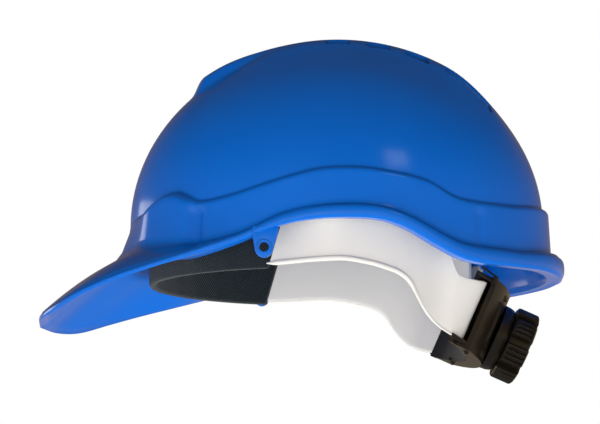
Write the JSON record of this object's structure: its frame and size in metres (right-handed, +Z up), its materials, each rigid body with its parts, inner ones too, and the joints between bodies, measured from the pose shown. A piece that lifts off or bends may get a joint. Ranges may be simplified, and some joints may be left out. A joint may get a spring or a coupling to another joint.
{
  "type": "hard hat",
  "caption": "Peaked, vented industrial safety helmet with a wave-edged shell, chin strap lugs, webbing cradle, sweatband and a wheel-ratchet headband.",
  "frame": {"origin": "head mount: centre of the head opening on the crown axis, level with the headband's lower edge over the ears", "axes": "the wearer faces -Y, +Z is up through the crown, +X is the wearer's left"},
  "size_m": [0.214, 0.29, 0.1934],
  "materials": {
    "shell_blue": "glossy injection-moulded ABS",
    "band_white": "satin low-density polyethylene",
    "key_white": "satin moulded plastic",
    "webbing_white": "woven polyester webbing",
    "sweatband_black": "ribbed knit",
    "ratchet_black": "glossy moulded acetal",
    "mechanism_grey": "moulded acetal",
    "screw_zinc": "zinc-plated steel"
  },
  "bodies": {
    "helmet": {"shell": "shell_blue", "headband": "band_white", "left_hanger_tab": "band_white", "right_hanger_tab": "band_white", "left_arm": "band_white", "right_arm": "band_white", "sweatband": "sweatband_black", "crown_strap_1": "webbing_white", "crown_strap_2": "webbing_white", "crown_strap_3": "webbing_white", "front_left_key": "key_white", "front_right_key": "key_white", "side_left_key": "key_white", "side_right_key": "key_white", "rear_left_key": "key_white", "rear_right_key": "key_white"},
    "ratchet": {"outer_cover": "ratchet_black", "inner_cover": "ratchet_black"},
    "left_rack": {"left_rack": "band_white"},
    "right_rack": {"right_rack": "band_white"},
    "knob": {"knob": "ratchet_black", "pinion": "mechanism_grey", "pawl_disc": "mechanism_grey", "ratchet_screw": "screw_zinc"}
  },
  "joints": [
    {"name": "nape_travel", "type": "slide", "parent": "helmet", "child": "ratchet", "axis": [0, -0.9135, 0.4067], "range_m": [-0.01178, 0.01178], "deforming": ["left_arm", "right_arm"]},
    {"name": "knob_turn", "type": "hinge", "parent": "ratchet", "child": "knob", "pos_m": [0, 0.0862, -0.0356], "axis": [0, -0.9135, 0.4067], "range_deg": [-90.1, 90.1]},
    {"name": "left_rack_slide", "type": "hinge", "parent": "ratchet", "child": "left_rack", "pos_m": [0, 0.01951, -0.00591], "axis": [0, 0.4067, 0.9135], "range_deg": [-12, 12]},
    {"name": "right_rack_slide", "type": "hinge", "parent": "ratchet", "child": "right_rack", "pos_m": [0, 0.01951, -0.00591], "axis": [0, -0.4067, -0.9135], "range_deg": [-12, 12]}
  ],
  "couplings": [
    {"joint": "knob_turn", "follows": "nape_travel", "rad_per_m": 133.33},
    {"joint": "left_rack_slide", "follows": "nape_travel", "rad_per_m": 14.674},
    {"joint": "right_rack_slide", "follows": "nape_travel", "rad_per_m": 14.296}
  ]
}
